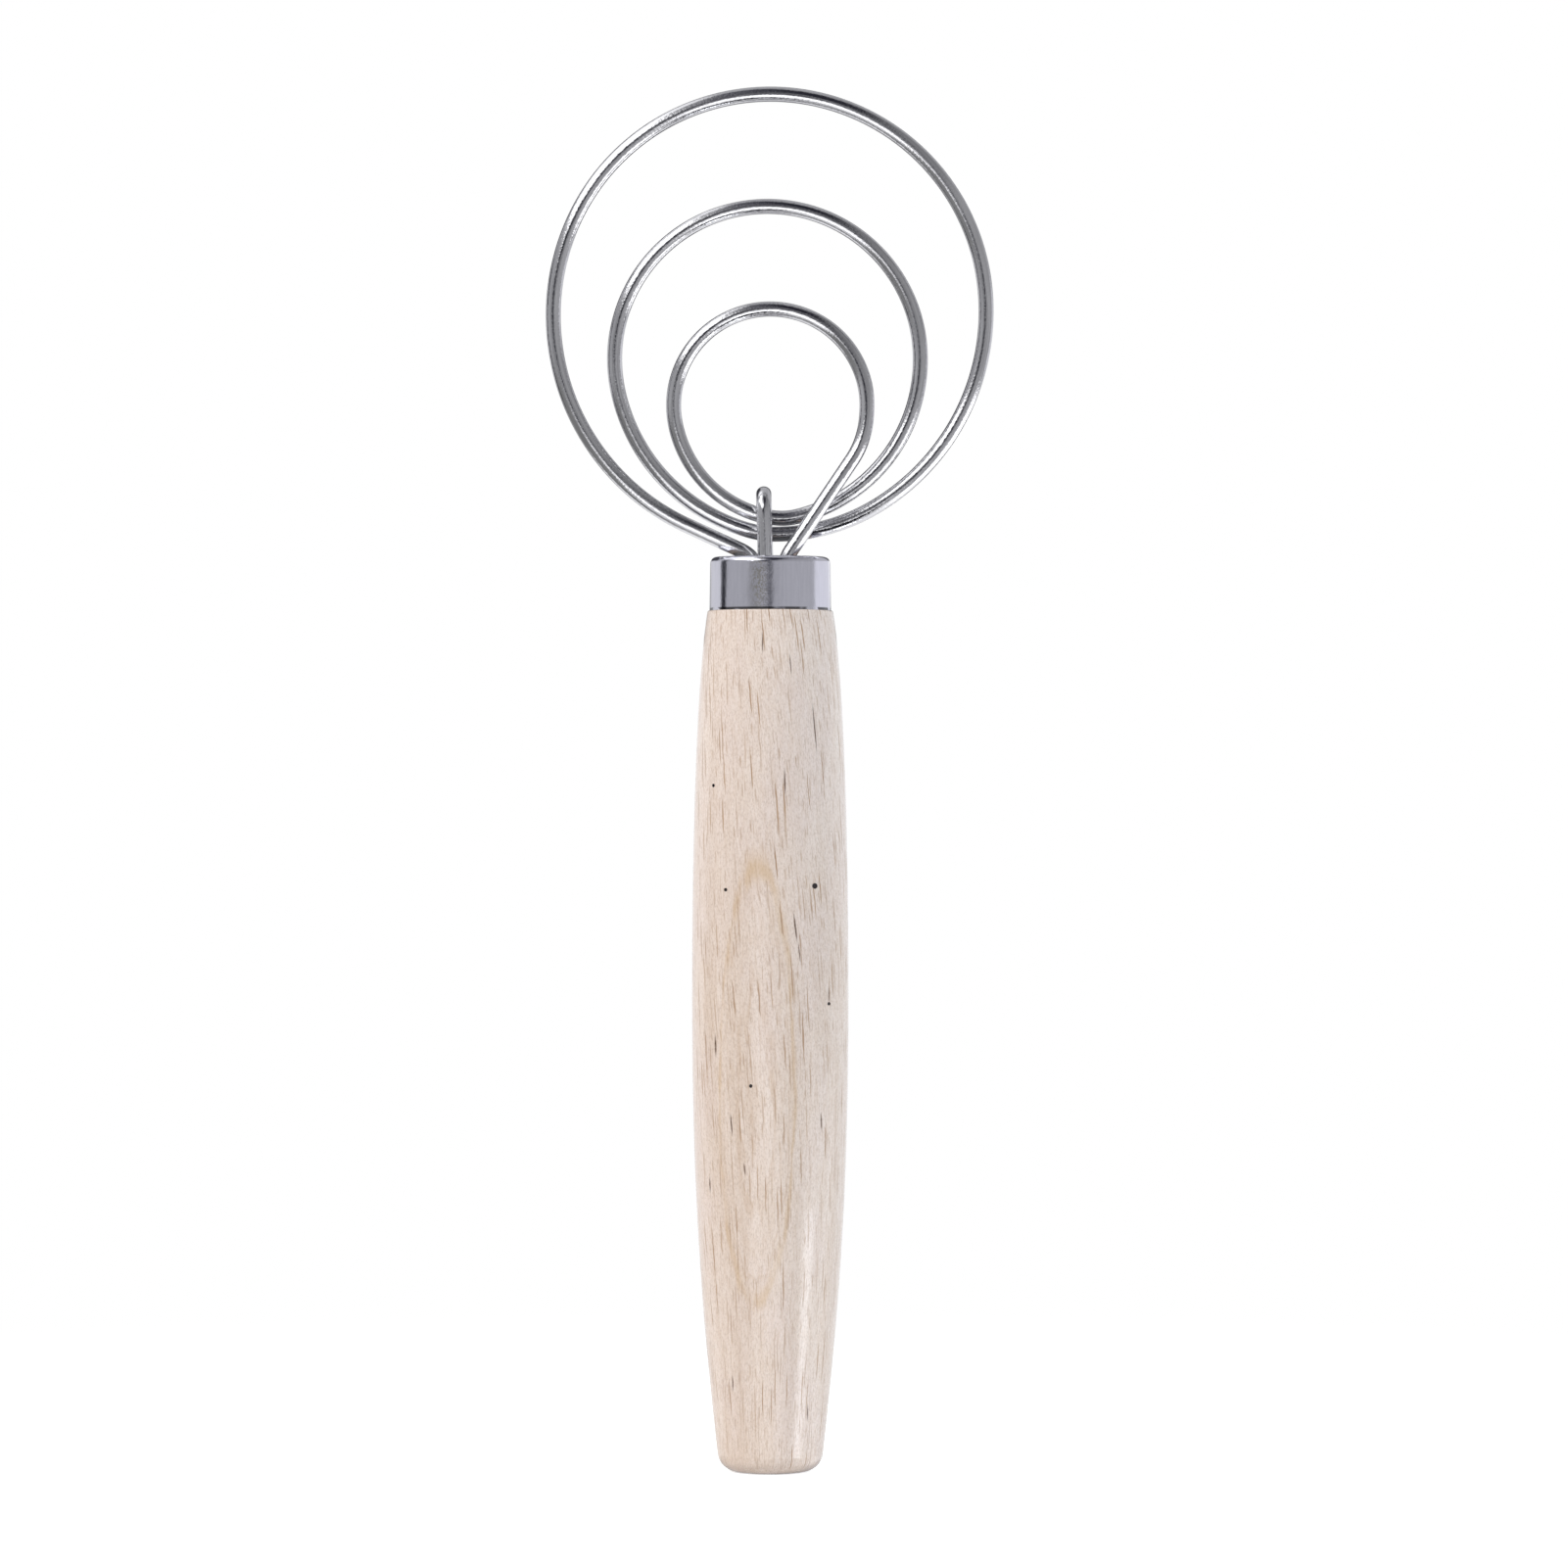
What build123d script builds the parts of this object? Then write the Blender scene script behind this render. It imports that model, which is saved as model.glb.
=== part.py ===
from build123d import *
import math
import os

# A dough whisk: one stiff steel wire wound into three eyes, set in a turned wooden handle.
# Millimetres. The handle stands along Z with the middle of its butt face at the origin.
# The eyes lie side by side in X, one inside the other, and -Y is the front.

# Handle
handle_length = 136.7
butt_diameter = 16.2
belly_diameter = 24.9
neck_diameter = 19.9
belly_height = 76.0
butt_round = 3.1
neck_round = 0.3
butt_flare_angle = 6.5
neck_taper_angle = 9.3
# How far each curve of the handle's outline runs on towards the next, of the height it spans
belly_to_butt_shares = (0.40, 0.35)
belly_to_neck_shares = (0.36, 0.19)

# Ferrule
ferrule_top_diameter = 19.05
ferrule_foot_diameter = 19.3
ferrule_height = 8.5
ferrule_wall = 0.5
ferrule_shoulder = 1.0
ferrule_mouth_diameter = 14.4
ferrule_rim_round = 0.2
ferrule_foot_round = 0.4
tenon_clearance = 0.05

# Socket in the tenon, filled with adhesive round the wires
socket_diameter = 12.6
socket_depth = 32.0
socket_chamfer = 0.4
tail_depth = 29.0
staple_depth = 18.0

# Wire and the room between its turns
wire_diameter = 2.4
pass_standoff = 2.48
pass_slit = 0.08
pass_lead = 0.9

# Eyes, measured inside the wire or between one turn and the next
inner_eye_width = 28.3
inner_eye_height = 30.8
inner_side_gap = 6.55
outer_side_gap = 7.6
inner_crown_gap = 14.0
outer_crown_gap = 15.44
lower_pass_shift = 0.8
upper_pass_shift = 1.9
middle_eye_shift = 0.45
inner_eye_lean = 1.2

# Turns of the arcs that make an eye, in degrees
lower_left_heel_turn = 15.0
lower_right_heel_turn = 31.0
upper_heel_turn = 13.0
outer_run_in_crown_turn = 67.0
outer_crown_turn = 81.0
middle_rise_crown_turn = 103.0
middle_fall_crown_turn = 82.0
inner_crown_turn = 104.0

# Outer tail, which runs into the ferrule from the outer eye
outer_tail_offset = 1.7
outer_tail_front = 0.5
outer_tail_corner_drop = 0.3
outer_tail_bend = 5.0
run_in_share = 0.957

# Inner tail, which leaves the inner eye and crosses in front of both passes
inner_tail_offset = 2.1
inner_tail_corner_drop = 0.85
inner_tail_bend = 7.3
inner_tail_crossing_gap = 0.7
exit_flank_radius = 22.7
exit_flank_turn = 7.0
exit_bend = 13.9

# Keeper staple. Its lean to the left is in degrees
staple_diameter = 2.45
staple_shift = 0.77
staple_lean = 1.5
staple_gap = 0.2
staple_headroom = 1.45

wire_radius = wire_diameter / 2
ferrule_top = handle_length + ferrule_height
tenon_top = ferrule_top - ferrule_wall
tenon_diameter = ferrule_top_diameter - 2 * ferrule_wall - 2 * tenon_clearance
socket_floor = tenon_top - socket_depth
tail_end = tenon_top - tail_depth

inner_crown_radius = (inner_eye_width + wire_diameter) / 2
middle_crown_radius = inner_crown_radius + wire_diameter + inner_side_gap
outer_crown_radius = middle_crown_radius + wire_diameter + outer_side_gap

lower_pass_height = ferrule_top + pass_standoff + wire_radius
upper_pass_height = lower_pass_height + wire_diameter + pass_slit
inner_crown_height = upper_pass_height + inner_eye_height + wire_diameter
middle_crown_height = inner_crown_height + inner_crown_gap + wire_diameter
outer_crown_height = middle_crown_height + outer_crown_gap + wire_diameter

# Middle of the wire at the low point of each pass and at the top of each crown
lower_pass = Vector(lower_pass_shift, pass_lead / 2, lower_pass_height)
upper_pass = Vector(upper_pass_shift, -pass_lead / 2, upper_pass_height)
outer_crown = Vector(0, 0, outer_crown_height)
middle_crown = Vector(-middle_eye_shift, 0, middle_crown_height)
inner_crown = Vector(0, -inner_eye_lean, inner_crown_height)

outer_tail_corner = Vector(-outer_tail_offset, -outer_tail_front, ferrule_top - outer_tail_corner_drop)
inner_corner_height = ferrule_top - inner_tail_corner_drop
crossing_front = pass_lead / 2 + wire_diameter + inner_tail_crossing_gap
forward_per_drop = (crossing_front - inner_eye_lean) / (inner_crown_height - upper_pass_height)
inner_corner_front = inner_eye_lean + forward_per_drop * (inner_crown_height - inner_corner_height)
inner_tail_corner = Vector(inner_tail_offset, -inner_corner_front, inner_corner_height)


def eye_plane(origin, low, high):
    """The plane that holds the X direction and the slope from low to high."""
    slope = Vector(0, high.Y - low.Y, high.Z - low.Z)
    return Plane(origin=origin, x_dir=(1, 0, 0), z_dir=Vector(1, 0, 0).cross(slope))


def along(angle, length):
    """A step of a length in a direction given in degrees."""
    return Vector(length * math.cos(math.radians(angle)), length * math.sin(math.radians(angle)))


def touch_angle(centre, radius, point, side):
    """Where on a circle the straight run to a point outside it leaves, in degrees."""
    step = point - centre
    half_view = math.degrees(math.acos(radius / step.length))
    return math.degrees(math.atan2(step.Y, step.X)) + side * half_view


def half_eye(foot, crown, crown_radius, heel_turn, crown_turn, side):
    """Half an eye as three tangent arcs: heel, flank and crown. side is 1 on the right, -1 on the left."""
    plane = eye_plane(foot, foot, crown)
    top = plane.to_local_coords(crown)
    heel = math.radians(heel_turn)
    flank_end = math.radians(180 - crown_turn)
    reach = side * top.X + crown_radius * math.sin(flank_end)
    climb = top.Y - crown_radius * (1 + math.cos(flank_end))
    flank_reach = math.sin(flank_end) - math.sin(heel)
    flank_climb = math.cos(heel) - math.cos(flank_end)
    spread = math.sin(heel) * flank_climb - (1 - math.cos(heel)) * flank_reach
    heel_radius = (reach * flank_climb - climb * flank_reach) / spread
    flank_radius = (climb * math.sin(heel) - reach * (1 - math.cos(heel))) / spread
    bend_radii.extend([heel_radius, flank_radius, crown_radius])
    heel_centre = Vector(0, heel_radius)
    flank_centre = heel_centre + along(270 + side * heel_turn, heel_radius - flank_radius)
    crown_centre = top - Vector(0, crown_radius)
    flank_turn = 180 - crown_turn - heel_turn
    with BuildLine(plane) as half:
        CenterArc(tuple(heel_centre), heel_radius, 270, side * heel_turn)
        CenterArc(tuple(flank_centre), flank_radius, 270 + side * heel_turn, side * flank_turn)
        CenterArc(tuple(crown_centre), crown_radius, 90 - side * crown_turn, side * crown_turn)
    return half.line


bend_radii = []

# Outer eye, left side: crown, long flank, a short straight and the bend down into the socket
run_in_plane = eye_plane(outer_crown, outer_tail_corner, outer_crown)
run_in_corner = run_in_plane.to_local_coords(outer_tail_corner)
run_in_centre = Vector(0, -outer_crown_radius)
flank_start_angle = 90 + outer_run_in_crown_turn
flank_start = run_in_centre + along(flank_start_angle, outer_crown_radius)
inward = along(flank_start_angle + 180, 1)
to_corner = run_in_corner - flank_start
widest_flank_radius = to_corner.length**2 / (2 * to_corner.dot(inward))
run_in_radius = run_in_share * widest_flank_radius
run_in_flank_centre = flank_start + inward * run_in_radius
run_in_end_angle = touch_angle(run_in_flank_centre, run_in_radius, run_in_corner, -1) % 360
run_in_end = run_in_flank_centre + along(run_in_end_angle, run_in_radius)
bend_radii.extend([run_in_radius, outer_tail_bend])
with BuildLine(run_in_plane) as outer_run_in:
    CenterArc(tuple(run_in_centre), outer_crown_radius, 90, outer_run_in_crown_turn)
    CenterArc(tuple(run_in_flank_centre), run_in_radius, flank_start_angle, run_in_end_angle - flank_start_angle)

with BuildLine() as outer_tail:
    FilletPolyline(
        run_in_plane.from_local_coords(run_in_end),
        outer_tail_corner,
        Vector(outer_tail_corner.X, outer_tail_corner.Y, tail_end),
        radius=outer_tail_bend,
    )

# Inner eye, right side: crown, exit flank, exit bend and the straight that crosses both passes
exit_plane = eye_plane(inner_crown, inner_tail_corner, inner_crown)
exit_corner = exit_plane.to_local_coords(inner_tail_corner)
exit_crown_centre = Vector(0, -inner_crown_radius)
exit_side = exit_crown_centre + Vector(inner_crown_radius, 0)
exit_flank_centre = exit_side - Vector(exit_flank_radius, 0)
exit_bend_start = exit_flank_centre + along(-exit_flank_turn, exit_flank_radius)
exit_bend_centre = exit_bend_start - along(-exit_flank_turn, exit_bend)
exit_end_angle = touch_angle(exit_bend_centre, exit_bend, exit_corner, 1)
exit_end = exit_bend_centre + along(exit_end_angle, exit_bend)
bend_radii.extend([exit_flank_radius, exit_bend, inner_tail_bend])
with BuildLine(exit_plane) as inner_exit:
    CenterArc(tuple(exit_crown_centre), inner_crown_radius, 90, -90)
    CenterArc(tuple(exit_flank_centre), exit_flank_radius, 0, -exit_flank_turn)
    CenterArc(tuple(exit_bend_centre), exit_bend, -exit_flank_turn, exit_end_angle + exit_flank_turn)

with BuildLine() as inner_tail:
    FilletPolyline(
        exit_plane.from_local_coords(exit_end),
        inner_tail_corner,
        Vector(inner_tail_corner.X, inner_tail_corner.Y, tail_end),
        radius=inner_tail_bend,
    )

# The whole wire, from the socket round the outer, middle and inner eye and back into the socket
with BuildLine() as whisk_route:
    add(outer_tail.line)
    add(outer_run_in.line)
    add(half_eye(lower_pass, outer_crown, outer_crown_radius, lower_right_heel_turn, outer_crown_turn, 1))
    add(half_eye(lower_pass, middle_crown, middle_crown_radius, lower_left_heel_turn, middle_rise_crown_turn, -1))
    add(half_eye(upper_pass, middle_crown, middle_crown_radius, upper_heel_turn, middle_fall_crown_turn, 1))
    add(half_eye(upper_pass, inner_crown, inner_crown_radius, upper_heel_turn, inner_crown_turn, -1))
    add(inner_exit.line)
    add(inner_tail.line)
wire_path = whisk_route.wire()
tail_plane = Plane(origin=(outer_tail_corner.X, outer_tail_corner.Y, tail_end), z_dir=(0, 0, 1))

with BuildPart() as whisk_wire:
    with BuildSketch(tail_plane):
        Circle(wire_radius)
    sweep(path=wire_path)
whisk_wire.part.label = "whisk_wire"

# Keeper staple: a hairpin of wire that holds both passes down, one leg in front and one behind
staple_radius = staple_diameter / 2
staple_leg_spread = pass_lead / 2 + wire_radius + staple_gap + staple_radius
staple_inside_top = upper_pass_height - ferrule_top + wire_radius + staple_headroom
staple_shoulder = staple_inside_top + staple_radius - staple_leg_spread
staple_foot = -ferrule_wall - staple_depth
lean = math.radians(staple_lean)
staple_plane = Plane(
    origin=(-staple_shift, 0, ferrule_top),
    x_dir=(0, 1, 0),
    z_dir=(math.cos(lean), 0, math.sin(lean)),
)
front_foot = staple_plane.from_local_coords(Vector(-staple_leg_spread, staple_foot))

with BuildPart() as keeper_staple:
    with BuildLine(staple_plane) as staple_route:
        Line((-staple_leg_spread, staple_foot), (-staple_leg_spread, staple_shoulder))
        CenterArc((0, staple_shoulder), staple_leg_spread, 180, -180)
        Line((staple_leg_spread, staple_shoulder), (staple_leg_spread, staple_foot))
    with BuildSketch(Plane(origin=front_foot, z_dir=staple_plane.y_dir)):
        Circle(staple_radius)
    sweep(path=staple_route.wire())
keeper_staple.part.label = "keeper_staple"

# Handle: turned outline, tenon for the ferrule and a blind socket
butt_slope = math.tan(math.radians(butt_flare_angle))
neck_slope = math.tan(math.radians(neck_taper_angle))
belly_radius = belly_diameter / 2
butt_radius = butt_diameter / 2
neck_radius = neck_diameter / 2
neck_span = handle_length - belly_height
butt_reach = belly_to_butt_shares[1] * belly_height
neck_reach = belly_to_neck_shares[1] * neck_span

with BuildPart() as handle:
    with BuildSketch(Plane.XZ):
        with BuildLine():
            Line((0, 0), (butt_radius, 0))
            Bezier(
                (butt_radius, 0),
                (butt_radius + butt_slope * butt_reach, butt_reach),
                (belly_radius, belly_height - belly_to_butt_shares[0] * belly_height),
                (belly_radius, belly_height),
            )
            Bezier(
                (belly_radius, belly_height),
                (belly_radius, belly_height + belly_to_neck_shares[0] * neck_span),
                (neck_radius + neck_slope * neck_reach, handle_length - neck_reach),
                (neck_radius, handle_length),
            )
            Polyline(
                (neck_radius, handle_length),
                (tenon_diameter / 2, handle_length),
                (tenon_diameter / 2, tenon_top),
                (0, tenon_top),
                (0, 0),
            )
        make_face()
    revolve(axis=Axis.Z)
    fillet(handle.edges().filter_by(GeomType.CIRCLE).sort_by(Axis.Z)[0], butt_round)
    neck_edge = handle.edges().filter_by(GeomType.CIRCLE).group_by(Axis.Z)[-2].sort_by(SortBy.RADIUS)[-1]
    fillet(neck_edge, neck_round)
    fillet(handle.edges().filter_by(GeomType.CIRCLE).sort_by(Axis.Z)[-1], ferrule_shoulder)
    with Locations((0, 0, tenon_top)):
        Hole(socket_diameter / 2, depth=socket_depth)
    mouth_edge = handle.edges().filter_by(GeomType.CIRCLE).group_by(Axis.Z)[-1].sort_by(SortBy.RADIUS)[0]
    chamfer(mouth_edge, socket_chamfer)
handle.part.label = "handle"

# Ferrule: a drawn steel cap over the tenon, a little wider at its foot and open in the middle for the wires
ferrule_top_radius = ferrule_top_diameter / 2
ferrule_foot_radius = ferrule_foot_diameter / 2
mouth_radius = ferrule_mouth_diameter / 2

with BuildPart() as ferrule:
    with BuildSketch(Plane.XZ) as ferrule_section:
        with BuildLine():
            Polyline(
                (ferrule_foot_radius, handle_length),
                (ferrule_top_radius, ferrule_top),
                (mouth_radius, ferrule_top),
                (mouth_radius, tenon_top),
                (ferrule_top_radius - ferrule_wall, tenon_top),
                (ferrule_foot_radius - ferrule_wall, handle_length),
                close=True,
            )
        make_face()
        foot_corner, inner_corner, top_corner = (
            level.sort_by(Axis.X)[-1] for level in ferrule_section.vertices().group_by(Axis.Y)
        )
        mouth_corners = ferrule_section.vertices().group_by(Axis.X)[0]
        fillet(top_corner, ferrule_shoulder)
        fillet(inner_corner, ferrule_shoulder - ferrule_wall)
        fillet(mouth_corners, ferrule_rim_round)
        fillet(foot_corner, ferrule_foot_round)
    revolve(axis=Axis.Z)
ferrule.part.label = "ferrule"

# Socket filler: the hardened adhesive that grips the two tails and the staple's legs
with BuildPart() as socket_filler:
    with BuildSketch(Plane.XY.offset(socket_floor)):
        Circle(socket_diameter / 2)
    extrude(amount=socket_depth)
    add(whisk_wire.part, mode=Mode.SUBTRACT)
    add(keeper_staple.part, mode=Mode.SUBTRACT)
socket_filler.part.label = "socket_filler"

# The swept wire must hold its section all along, and its turns must stay clear of each other
wire_volume = math.pi * wire_radius**2 * wire_path.length
print(f"wire {wire_path.length:.1f} long, volume {whisk_wire.part.volume / wire_volume:.4f} of section by length")
print(f"bend radii {min(bend_radii):.1f} to {max(bend_radii):.1f}")
walk_step = wire_diameter / 2
walk_count = int(wire_path.length / walk_step)
walk = [wire_path.position_at(step / walk_count) for step in range(walk_count + 1)]
skip = int(inner_tail_bend / walk_step) + 1
least_gap = min(
    (walk[first] - walk[second]).length
    for first in range(walk_count)
    for second in range(first + skip, walk_count + 1)
)
print(f"least gap between turns {least_gap - wire_diameter:.2f}")

os.makedirs("parts", exist_ok=True)
export_step(whisk_wire.part, "parts/whisk_wire.step")
export_step(keeper_staple.part, "parts/keeper_staple.step")
export_step(handle.part, "parts/handle.step")
export_step(ferrule.part, "parts/ferrule.step")
export_step(socket_filler.part, "parts/socket_filler.step")
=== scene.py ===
import math

import bpy
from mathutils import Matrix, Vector


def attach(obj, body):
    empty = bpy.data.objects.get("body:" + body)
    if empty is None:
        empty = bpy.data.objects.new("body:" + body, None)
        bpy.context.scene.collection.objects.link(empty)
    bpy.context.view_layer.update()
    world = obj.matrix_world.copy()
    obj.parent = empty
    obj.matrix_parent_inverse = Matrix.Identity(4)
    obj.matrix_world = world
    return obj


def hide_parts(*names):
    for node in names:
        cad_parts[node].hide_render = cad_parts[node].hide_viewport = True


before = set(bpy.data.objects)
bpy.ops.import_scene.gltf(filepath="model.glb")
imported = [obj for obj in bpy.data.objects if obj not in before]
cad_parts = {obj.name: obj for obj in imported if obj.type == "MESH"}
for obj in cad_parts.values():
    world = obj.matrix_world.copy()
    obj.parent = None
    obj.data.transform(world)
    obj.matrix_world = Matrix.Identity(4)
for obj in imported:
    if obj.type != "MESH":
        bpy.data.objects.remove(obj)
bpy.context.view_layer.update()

bl_info = {
    "name": "Dough Whisk",
    "version": (1, 0, 0),
    "blender": (4, 5, 0),
    "location": "View3D > Sidebar > Dough Whisk",
    "description": "Dresses the packed dough whisk in steel, lacquered wood and adhesive, on a stage",
    "category": "Object",
}

MM = 0.001

# The wires' routes, in millimetres and degrees, from the same sizes as the CAD part. The handle stands
# along Z with the middle of its butt face at the origin, and -Y is the front.
HANDLE_LENGTH = 136.7
FERRULE_HEIGHT = 8.5
FERRULE_WALL = 0.5
TAIL_DEPTH = 29.0
STAPLE_DEPTH = 18.0
WIRE_DIAMETER = 2.4
PASS_STANDOFF = 2.48
PASS_SLIT = 0.08
PASS_LEAD = 0.9

INNER_EYE_WIDTH = 28.3
INNER_EYE_HEIGHT = 30.8
INNER_SIDE_GAP = 6.55
OUTER_SIDE_GAP = 7.6
INNER_CROWN_GAP = 14.0
OUTER_CROWN_GAP = 15.44
LOWER_PASS_SHIFT = 0.8
UPPER_PASS_SHIFT = 1.9
MIDDLE_EYE_SHIFT = 0.45
INNER_EYE_LEAN = 1.2

LOWER_LEFT_HEEL_TURN = 15.0
LOWER_RIGHT_HEEL_TURN = 31.0
UPPER_HEEL_TURN = 13.0
RUN_IN_CROWN_TURN = 67.0
OUTER_CROWN_TURN = 81.0
MIDDLE_RISE_CROWN_TURN = 103.0
MIDDLE_FALL_CROWN_TURN = 82.0
INNER_CROWN_TURN = 104.0

OUTER_TAIL_OFFSET = 1.7
OUTER_TAIL_FRONT = 0.5
OUTER_TAIL_CORNER_DROP = 0.3
OUTER_TAIL_BEND = 5.0
RUN_IN_SHARE = 0.957
INNER_TAIL_OFFSET = 2.1
INNER_TAIL_CORNER_DROP = 0.85
INNER_TAIL_BEND = 7.3
CROSSING_GAP = 0.7
EXIT_FLANK_RADIUS = 22.7
EXIT_FLANK_TURN = 7.0
EXIT_BEND = 13.9

STAPLE_DIAMETER = 2.45
STAPLE_SHIFT = 0.77
STAPLE_LEAN = 1.5
STAPLE_GAP = 0.2
STAPLE_HEADROOM = 1.45

FERRULE_TOP = HANDLE_LENGTH + FERRULE_HEIGHT
TENON_TOP = FERRULE_TOP - FERRULE_WALL
TAIL_END = TENON_TOP - TAIL_DEPTH
WIRE_RADIUS = WIRE_DIAMETER / 2
LOWER_PASS_HEIGHT = FERRULE_TOP + PASS_STANDOFF + WIRE_RADIUS
UPPER_PASS_HEIGHT = LOWER_PASS_HEIGHT + WIRE_DIAMETER + PASS_SLIT
INNER_CROWN_RADIUS = (INNER_EYE_WIDTH + WIRE_DIAMETER) / 2
MIDDLE_CROWN_RADIUS = INNER_CROWN_RADIUS + WIRE_DIAMETER + INNER_SIDE_GAP
OUTER_CROWN_RADIUS = MIDDLE_CROWN_RADIUS + WIRE_DIAMETER + OUTER_SIDE_GAP
INNER_CROWN_HEIGHT = UPPER_PASS_HEIGHT + INNER_EYE_HEIGHT + WIRE_DIAMETER
MIDDLE_CROWN_HEIGHT = INNER_CROWN_HEIGHT + INNER_CROWN_GAP + WIRE_DIAMETER
OUTER_CROWN_HEIGHT = MIDDLE_CROWN_HEIGHT + OUTER_CROWN_GAP + WIRE_DIAMETER

# The wire's middle at the low point of each pass, at each crown and at the corner of each tail
LOWER_PASS = Vector((LOWER_PASS_SHIFT, PASS_LEAD / 2, LOWER_PASS_HEIGHT))
UPPER_PASS = Vector((UPPER_PASS_SHIFT, -PASS_LEAD / 2, UPPER_PASS_HEIGHT))
OUTER_CROWN = Vector((0, 0, OUTER_CROWN_HEIGHT))
MIDDLE_CROWN = Vector((-MIDDLE_EYE_SHIFT, 0, MIDDLE_CROWN_HEIGHT))
INNER_CROWN = Vector((0, -INNER_EYE_LEAN, INNER_CROWN_HEIGHT))
OUTER_TAIL_CORNER = Vector((-OUTER_TAIL_OFFSET, -OUTER_TAIL_FRONT, FERRULE_TOP - OUTER_TAIL_CORNER_DROP))
INNER_CORNER_HEIGHT = FERRULE_TOP - INNER_TAIL_CORNER_DROP
CROSSING_FRONT = PASS_LEAD / 2 + WIRE_DIAMETER + CROSSING_GAP
FORWARD_PER_DROP = (CROSSING_FRONT - INNER_EYE_LEAN) / (INNER_CROWN_HEIGHT - UPPER_PASS_HEIGHT)
INNER_CORNER_FRONT = INNER_EYE_LEAN + FORWARD_PER_DROP * (INNER_CROWN_HEIGHT - INNER_CORNER_HEIGHT)
INNER_TAIL_CORNER = Vector((INNER_TAIL_OFFSET, -INNER_CORNER_FRONT, INNER_CORNER_HEIGHT))

# The staple's wire, its half width to the wire's middle, and its top, shoulder and foot measured from the
# ferrule's top
STAPLE_RADIUS = STAPLE_DIAMETER / 2
STAPLE_SPREAD = PASS_LEAD / 2 + WIRE_RADIUS + STAPLE_GAP + STAPLE_RADIUS
STAPLE_TOP = UPPER_PASS_HEIGHT - FERRULE_TOP + WIRE_RADIUS + STAPLE_HEADROOM + STAPLE_RADIUS
STAPLE_SHOULDER = STAPLE_TOP - STAPLE_SPREAD
STAPLE_FOOT = TENON_TOP - STAPLE_DEPTH - FERRULE_TOP

# The most between points on an arc and on a straight, and the least that counts as a step
POINT_STEP = 0.5
STRAIGHT_STEP = 2 * POINT_STEP
LEAST_STEP = POINT_STEP / 50
# How many points go round a bar, and the attribute that holds each point's place in the unbent bar
AROUND = 28
BAR_SPACE = "bar_space"


# The route


class TippedPlane:
    """A plane that holds the X direction and the slope from a low point to a high one."""

    def __init__(self, origin, low, high):
        self.origin = origin
        self.up = Vector((0, high.y - low.y, high.z - low.z)).normalized()

    def place(self, flat):
        """The point in space of a point on the plane."""
        return self.origin + Vector((flat.x, 0, 0)) + self.up * flat.y

    def flatten(self, point):
        """The point on the plane of a point in space."""
        step = point - self.origin
        return Vector((step.x, step.dot(self.up)))


def along(angle, length):
    """A step of a length in a direction given in degrees."""
    return Vector((length * math.cos(math.radians(angle)), length * math.sin(math.radians(angle))))


def arc(plane, centre, radius, start, turn):
    """Points along an arc on a plane, closer together than POINT_STEP."""
    count = math.ceil(abs(math.radians(turn)) * radius / POINT_STEP)
    return [plane.place(centre + along(start + turn * k / count, radius)) for k in range(count + 1)]


def half_eye(foot, crown, crown_radius, heel_turn, crown_turn, side):
    """Half an eye from its foot to its crown, in a heel, a flank and a crown arc.

    The side is 1 for the right half and -1 for the left one.
    """
    plane = TippedPlane(foot, foot, crown)
    top = plane.flatten(crown)
    heel = math.radians(heel_turn)
    flank_end = math.radians(180 - crown_turn)
    reach = side * top.x + crown_radius * math.sin(flank_end)
    climb = top.y - crown_radius * (1 + math.cos(flank_end))
    flank_reach = math.sin(flank_end) - math.sin(heel)
    flank_climb = math.cos(heel) - math.cos(flank_end)
    spread = math.sin(heel) * flank_climb - (1 - math.cos(heel)) * flank_reach
    heel_radius = (reach * flank_climb - climb * flank_reach) / spread
    flank_radius = (climb * math.sin(heel) - reach * (1 - math.cos(heel))) / spread
    heel_centre = Vector((0, heel_radius))
    flank_start = 270 + side * heel_turn
    flank_centre = heel_centre + along(flank_start, heel_radius - flank_radius)
    flank_turn = side * (180 - crown_turn - heel_turn)
    crown_centre = top - Vector((0, crown_radius))
    return (
        arc(plane, heel_centre, heel_radius, 270, side * heel_turn)
        + arc(plane, flank_centre, flank_radius, flank_start, flank_turn)
        + arc(plane, crown_centre, crown_radius, 90 - side * crown_turn, side * crown_turn)
    )


def touch_angle(centre, radius, point, side):
    """Where on a circle the straight run to a point outside it leaves, in degrees."""
    step = point - centre
    half_view = math.degrees(math.acos(radius / step.length))
    return math.degrees(math.atan2(step.y, step.x)) + side * half_view


def bend(before, corner, after, radius):
    """Points of the rounded bend at a corner between two straight runs."""
    into = (before - corner).normalized()
    out = (after - corner).normalized()
    half = into.angle(out) / 2
    centre = corner + (into + out).normalized() * (radius / math.sin(half))
    first = corner + into * (radius / math.tan(half)) - centre
    last = corner + out * (radius / math.tan(half)) - centre
    turn = first.angle(last)
    count = math.ceil(turn * radius / POINT_STEP)
    points = []
    for k in range(count + 1):
        done = turn * k / count
        step = (first * math.sin(turn - done) + last * math.sin(done)) / math.sin(turn)
        points.append(centre + step)
    return points


def joined(*runs):
    """One row of points from several runs, with points added on the long straights and none doubled."""
    corners = [point for run in runs for point in run]
    points = [corners[0]]
    for corner in corners[1:]:
        start = points[-1]
        length = (corner - start).length
        if length < LEAST_STEP:
            continue
        count = math.ceil(length / STRAIGHT_STEP)
        points.extend(start.lerp(corner, k / count) for k in range(1, count + 1))
    return points


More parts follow.
